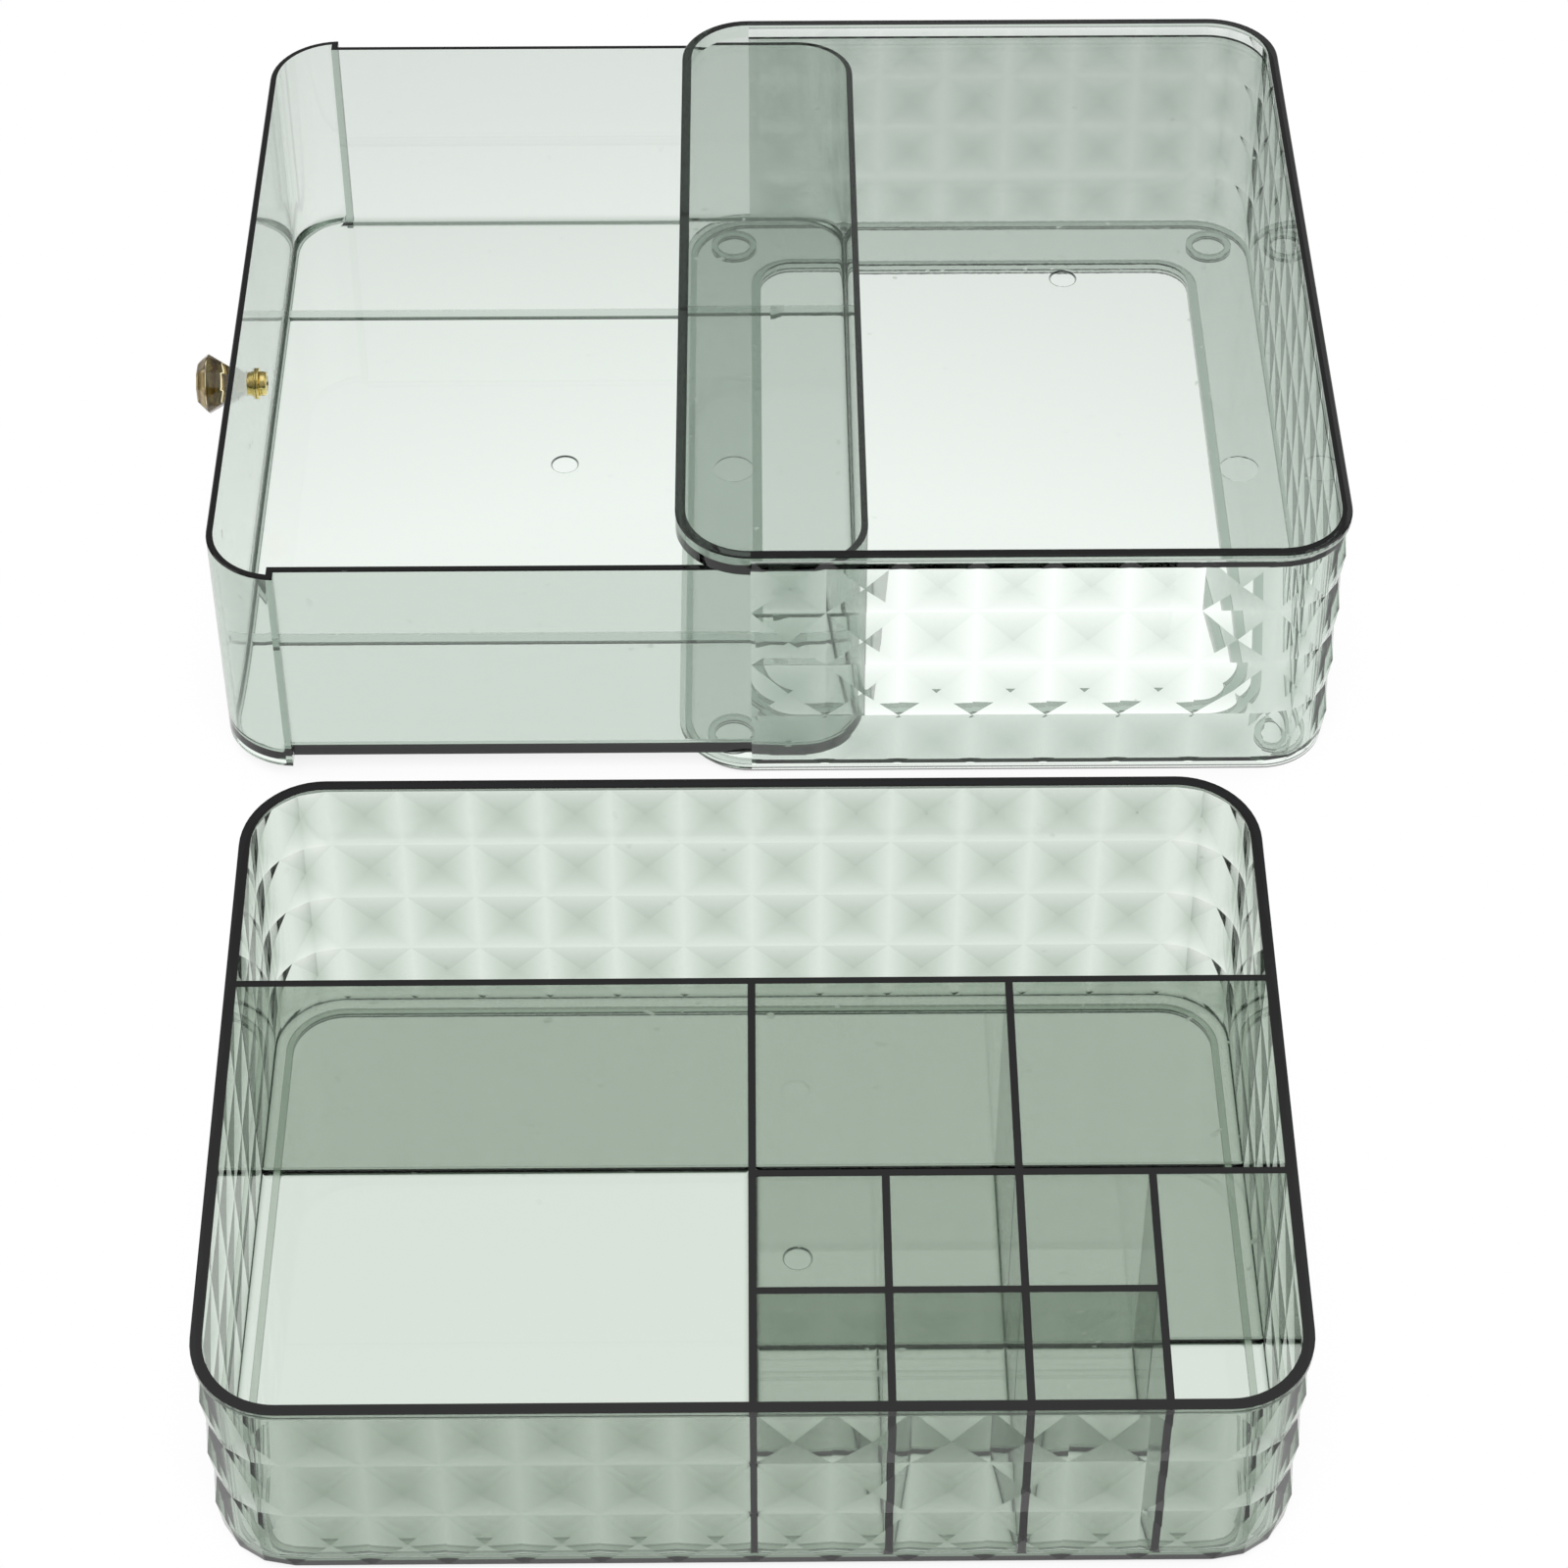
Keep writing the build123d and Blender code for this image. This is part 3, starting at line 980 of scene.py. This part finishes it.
@dataclass(frozen=True)
class Screw:
    """The pan-head screw with its cross recess and thread.

    The head's top reaches out to its flat share, and a rounded rim takes the rest. The recess's
    steep and gentle falls are its depth over the distance from a slot's long sides and ends. The
    thread's and the tip's start are how fast, per length of the shank, the thread grows behind the
    head and the shank narrows at its tip, where its least share of the radius is left.
    """

    radius: float = 2.0 * MM
    reach: float = 5.0 * MM
    pitch: float = 0.8 * MM
    thread_depth: float = 0.3 * MM
    thread_start: float = 8.0
    tip_start: float = 14.0
    tip_least: float = 0.12
    shank_rows: int = 150
    head_radius: float = 4.3 * MM
    head_height: float = 2.8 * MM
    head_fall: float = 0.55 * MM
    flat_share: float = 0.9
    head_rows: int = 70
    rim_power: float = 0.8
    rim_rows: int = 12
    recess_turn: float = pi / 5
    recess_arm: float = 2.5 * MM
    recess_width: float = 0.62 * MM
    recess_depth: float = 1.5 * MM
    # How far beyond the recess's arms the painted shade reaches.
    recess_shade: float = 0.2 * MM
    steep: float = 5.0
    gentle: float = 0.9
    columns: int = 160

    def slot_depth(self, side: np.ndarray, end: np.ndarray) -> np.ndarray:
        """Depth of one slot of the recess, by the distances across and along it."""
        return np.minimum(self.steep * (self.recess_width - side),
                          self.gentle * (self.recess_arm - end))

    def points(self, seat: float, tip: float) -> np.ndarray:
        """The screw from the middle of its head to its tip.

        The head's top falls off with the fourth power of the distance from its middle. The recess
        is the deeper of two tapered slots, each the smaller of a steep fall from its long sides and
        a gentle fall from its ends. The thread's radius follows a triangle wave of the place along
        the screw plus the turn.

        Args:
            seat: where the head sits along the knob.
            tip: where the shank ends along the knob.

        Returns:
            The points about the knob's axis.
        """
        turn = full_turn(self.columns)
        head = np.linspace(0, self.flat_share, self.head_rows)[:, None] * self.head_radius
        u = np.abs(head * np.cos(turn + self.recess_turn))
        v = np.abs(head * np.sin(turn + self.recess_turn))
        deeper = np.maximum(self.slot_depth(u, v), self.slot_depth(v, u))
        recess = np.clip(deeper, 0, self.recess_depth)
        top = seat - (self.head_height - self.head_fall * (head / self.head_radius) ** 4) + recess
        edge = np.linspace(0, pi / 2, self.rim_rows)[1:, None]
        rim = self.head_height - self.head_fall * self.flat_share**4
        rim_along = seat - rim * np.cos(edge) ** self.rim_power
        bulge = (1 - self.flat_share) * np.sin(edge)
        rim_radius = self.head_radius * (self.flat_share + bulge)
        shank = np.linspace(0, 1, self.shank_rows)[:, None]
        shank_along = seat + shank * (tip - seat)
        wave = np.abs((shank_along / self.pitch + turn / (2 * pi)) % 1 - 0.5) * 2 - 1
        thread = self.thread_depth * wave * np.clip(shank * self.thread_start, 0, 1)
        taper = np.clip((1 - shank) * self.tip_start, self.tip_least, 1)
        shank_radius = (self.radius + thread) * taper
        whole = np.zeros_like(turn)
        along = np.concatenate([top, rim_along + whole, shank_along + whole,
                                shank_along[-1:] + whole])
        radius = np.concatenate([head + whole, rim_radius + whole, shank_radius, whole])
        return about_axis(along, radius, turn)


@dataclass
class Knob:
    """The drawer's knob: crystal with a gold foil behind its table, ferrule, washer and screw.

    Lengths along the knob are counted outwards from the face of the drawer's front panel, so the
    panel's own thickness, the washer and the screw's head come out negative. Each gold is a deep
    and a bright colour.
    """

    wall: float = 2.2 * MM
    bore: float = 2.1 * MM
    crystal: Crystal = Crystal()
    foil: Foil = Foil()
    ferrule: Ferrule = Ferrule()
    washer: Washer = Washer()
    screw: Screw = Screw()
    gold: tuple[Rgb, Rgb] = ((0.62, 0.47, 0.13), (0.90, 0.74, 0.33))
    foil_gold: tuple[Rgb, Rgb] = ((0.34, 0.26, 0.12), (0.47, 0.37, 0.19))
    made: list[str] = field(default_factory=list)

    def __post_init__(self) -> None:
        """Finds the knob's axis and foot in the frame."""
        low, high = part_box("knob_ferrule")
        self.foot = np.array([high.x, (low.y + high.y) / 2, (low.z + high.z) / 2])

    def add_piece(self, name: str, points: np.ndarray, wrap: Wrap, material: bpy.types.Material,
                  node: str | None = None) -> None:
        """Lays a piece about the knob's axis, which runs outwards along minus X.

        Args:
            name: name of the piece.
            points: points about the axis, along it and two across.
            wrap: how the grid of points closes.
            material: the piece's material.
            node: name of the node it replaces, or None.
        """
        piece = lay_surface(name, self.foot + points * (-1.0, 1.0, 1.0), wrap)
        piece.data.materials.append(material)
        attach(piece, Body.DRAWER.value)
        if node is not None:
            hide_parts(node)
        self.made.append(piece.name)
        LOG.info("%s: %d faces, rides on %s", piece.name, len(piece.data.polygons),
                 Body.DRAWER.value)

    def build(self) -> None:
        """Builds the whole knob."""
        foot = tuple(float(c) for c in self.foot)
        back, neck_at = self.wall + self.washer.thickness, self.ferrule.length
        # Painted shade at the bottom of the screw's recess.
        recess = HollowShade(self.screw.recess_arm + self.screw.recess_shade, back,
                        back + self.screw.head_height)
        plate = GoldPlate("gold_plate", *self.gold, foot).material()
        screw = GoldPlate("gold_screw", *self.gold, foot, recess).material()
        foil = GoldPlate("gold_foil", *self.foil_gold, foot, turning_rings=300.0,
                         ring_depth=0.000001, rough=Fade(0.3, 0.8, 0.3, 0.45)).material()
        cut = CutCrystal("cut_crystal", taken=(12.0, 18.0, 44.0)).material()
        self.add_piece("crystal_cut", self.crystal.points(neck_at), Wrap.POLES, cut,
                       "knob_crystal")
        self.add_piece("crystal_foil", self.foil.points(self.crystal, neck_at), Wrap.POLES, foil)
        self.add_piece("ferrule_turned", self.ferrule.points(self.bore), Wrap.TORUS, plate,
                       "knob_ferrule")
        self.add_piece("washer_stamped", self.washer.points(self.bore, -self.wall), Wrap.TORUS,
                       plate, "knob_washer")
        self.add_piece("screw_threaded", self.screw.points(-back, neck_at + self.screw.reach),
                       Wrap.POLES, screw, "knob_screw")


# Studio


@dataclass(frozen=True)
class Lamp:
    """A soft square lamp: where it hangs and its side in metres, its turn in degrees, its watts."""

    name: str
    place: Point
    turn: Point
    side: float
    watts: float

    def hang(self) -> None:
        """Hangs the lamp in the scene."""
        lamp = bpy.data.lights.new(self.name, "AREA")
        lamp.shape = "SQUARE"
        lamp.size = self.side
        lamp.energy = self.watts
        holder = bpy.data.objects.new(self.name, lamp)
        holder.location = self.place
        holder.rotation_euler = [radians(a) for a in self.turn]
        bpy.context.scene.collection.objects.link(holder)


@dataclass
class Studio:
    """Plain pale floor, soft sky and two soft lamps round the object.

    Steps are pairs of place and grey level. The floor's light falls off with the distance from its
    middle. The photograph's background is overexposed: one, two and three layers of the plastic fit
    one absorption only if the white behind them is 1.38 times plain white, so that is how rays that
    come through the plastic see the floor.
    """

    floor_half: float = 6.0
    floor_light: float = 1.0
    floor_seen_through: float = 1.38
    floor_middle: Point = (0.0, -0.15, 0.0)
    floor_reach: float = 2.0
    floor_steps: Steps = ((0.0, 1.0), (0.15, 1.0), (0.27, 0.78), (0.5, 0.5), (1.0, 0.35))
    shade_reach: float = 0.05
    shade_samples: int = 6
    shade_steps: Steps = ((0.0, 0.80), (0.55, 1.0))
    sky_light: float = 1.15
    sky_steps: Steps = ((0.0, 0.10), (0.15, 0.16), (0.45, 0.30), (0.82, 0.34), (0.93, 0.80),
                        (1.0, 1.0))
    sky_seen_through: float = 1.0
    sky_through_steps: Steps = ((0.0, 0.22), (0.3, 0.48), (1.0, 1.0))
    lamps: tuple[Lamp, ...] = (
        Lamp("soft_left", (-1.5, 0.2, 1.2), (0, -50, -8), 1.6, 8.0),
        Lamp("soft_right", (1.5, -0.3, 1.3), (0, 48, -12), 1.6, 7.0),
    )
    bounces: int = 48
    shine_bounces: int = 8

    def lay_floor(self) -> None:
        """A flat floor that camera rays see white, darker only close round the object's foot."""
        side = np.array([-1.0, 1.0]) * self.floor_half
        x, y = np.meshgrid(side, side, indexing="xy")
        floor = lay_surface("studio_floor", np.stack([x, y, np.zeros_like(x)], -1), Wrap.SHEET)
        material, bench = new_material("studio_floor")
        rays = bench.add("LightPath").outputs
        away = bench.distance(bench.object_place(self.floor_middle))
        share = bench.fade(away, Fade(0.0, self.floor_reach))
        through = Fade(0.0, 1.0, self.floor_light, self.floor_seen_through)
        lit, seen = bench.add("Emission"), bench.add("Emission")
        bench.join(bench.fade(rays["Is Transmission Ray"], through), lit.inputs["Strength"])
        bench.join(bench.ramp(share, greys(self.floor_steps)), lit.inputs["Color"])
        shade = bench.add("AmbientOcclusion", {"Distance": self.shade_reach},
                          samples=self.shade_samples)
        bench.join(bench.ramp(shade.outputs["AO"], greys(self.shade_steps)), seen.inputs["Color"])
        bench.close(bench.choose(rays["Is Camera Ray"], lit, seen))
        floor.data.materials.append(material)

    def hang_sky(self) -> None:
        """A sky that camera rays see white and that lights the object, brighter overhead."""
        world = bpy.data.worlds.new("studio_sky")
        bpy.context.scene.world = world
        world.use_nodes = True
        bench = NodeBench(world.node_tree)
        height = bench.split(bench.add("TexCoord").outputs["Generated"])["Z"]
        rays = bench.add("LightPath").outputs

        def dome(strength: float, steps: Steps) -> bpy.types.Node:
            """A sky of grey levels along the height.

            Args:
                strength: strength of its light.
                steps: pairs of height and grey level.

            Returns:
                The sky's node.
            """
            node = bench.add("Background", {"Strength": strength})
            bench.join(bench.ramp(height, greys(steps)), node.inputs["Color"])
            return node

        lit = dome(self.sky_light, self.sky_steps)
        through = dome(self.sky_seen_through, self.sky_through_steps)
        white = dome(1.0, ((0.0, 1.0), (1.0, 1.0)))
        beyond = bench.choose(rays["Is Transmission Ray"], lit, through)
        bench.close(bench.choose(rays["Is Camera Ray"], beyond, white), "OutputWorld")

    def set_up(self) -> None:
        """Sets up floor, sky, lamps and the way light is followed through clear plastic."""
        self.lay_floor()
        self.hang_sky()
        for lamp in self.lamps:
            lamp.hang()
        scene = bpy.context.scene
        scene.view_settings.view_transform = "Standard"
        scene.cycles.max_bounces = self.bounces
        scene.cycles.transmission_bounces = self.bounces
        scene.cycles.glossy_bounces = self.shine_bounces


@dataclass
class PhotoCamera:
    """Camera at the photograph's viewing angle.

    Lens and sensor are in millimetres, the place and how far is seen in metres, and the angles
    down from the horizon and round the upright in radians.
    """

    lens: float = 93.58
    sensor: float = 36.0
    place: Point = (0.0027, -0.9602, 0.9365)
    down: float = 0.7714
    turn: float = -0.0083
    sight: float = 30.0

    def set_up(self) -> None:
        """Makes the camera and hands it to the scene."""
        data = bpy.data.cameras.new("photo_camera")
        data.lens = self.lens
        data.sensor_width = self.sensor
        data.clip_end = self.sight
        camera = bpy.data.objects.new("photo_camera", data)
        camera.location = self.place
        camera.rotation_euler = (radians(90) - self.down, 0, self.turn)
        bpy.context.scene.collection.objects.link(camera)
        bpy.context.scene.camera = camera


def main() -> None:
    """Builds and dresses the organizer, its studio and its camera."""
    logging.basicConfig(level=logging.INFO, format="%(name)s %(message)s")
    PhotoCamera().set_up()
    pale_smoke, deep_smoke = (156.0, 130.0, 150.0), (235.0, 201.0, 234.0)
    casing_gate = Gate(x=107.15 * MM, y=157.5 * MM, radius=4.5 * MM, level=89.7 * MM)
    drawer_gate = Gate(x=-65.85 * MM, y=157.5 * MM, radius=4.75 * MM, level=8.7 * MM)
    tray_gate = Gate(x=13.0 * MM, y=-199.5 * MM, radius=4.25 * MM, level=4.0 * MM)
    # The rim colours are a near-black painted shade for rims and the walls' foot.
    casing = SmokePlastic("smoke_casing", pale_smoke, rim_level=92 * MM, rim=grey(0.03),
                          gate=casing_gate)
    drawer = SmokePlastic("smoke_drawer", pale_smoke, rim_level=80 * MM, rim=grey(0.08),
                          gate=drawer_gate)
    tray = SmokePlastic("smoke_tray", deep_smoke, rim_level=30 * MM, rim=(0.004, 0.004, 0.006),
                        gate=tray_gate, tint=(0.905, 0.92, 0.905))
    Moulding("casing_shell", Body.CASING, casing).dress()
    Moulding("drawer_box", Body.DRAWER, drawer).dress()
    Moulding("tray_shell", Body.TRAY, tray).dress()
    knob = Knob()
    knob.build()
    Studio().set_up()
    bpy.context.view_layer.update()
    LOG.info("knob pieces: %s", ", ".join(knob.made))


if __name__ == "__main__":
    main()
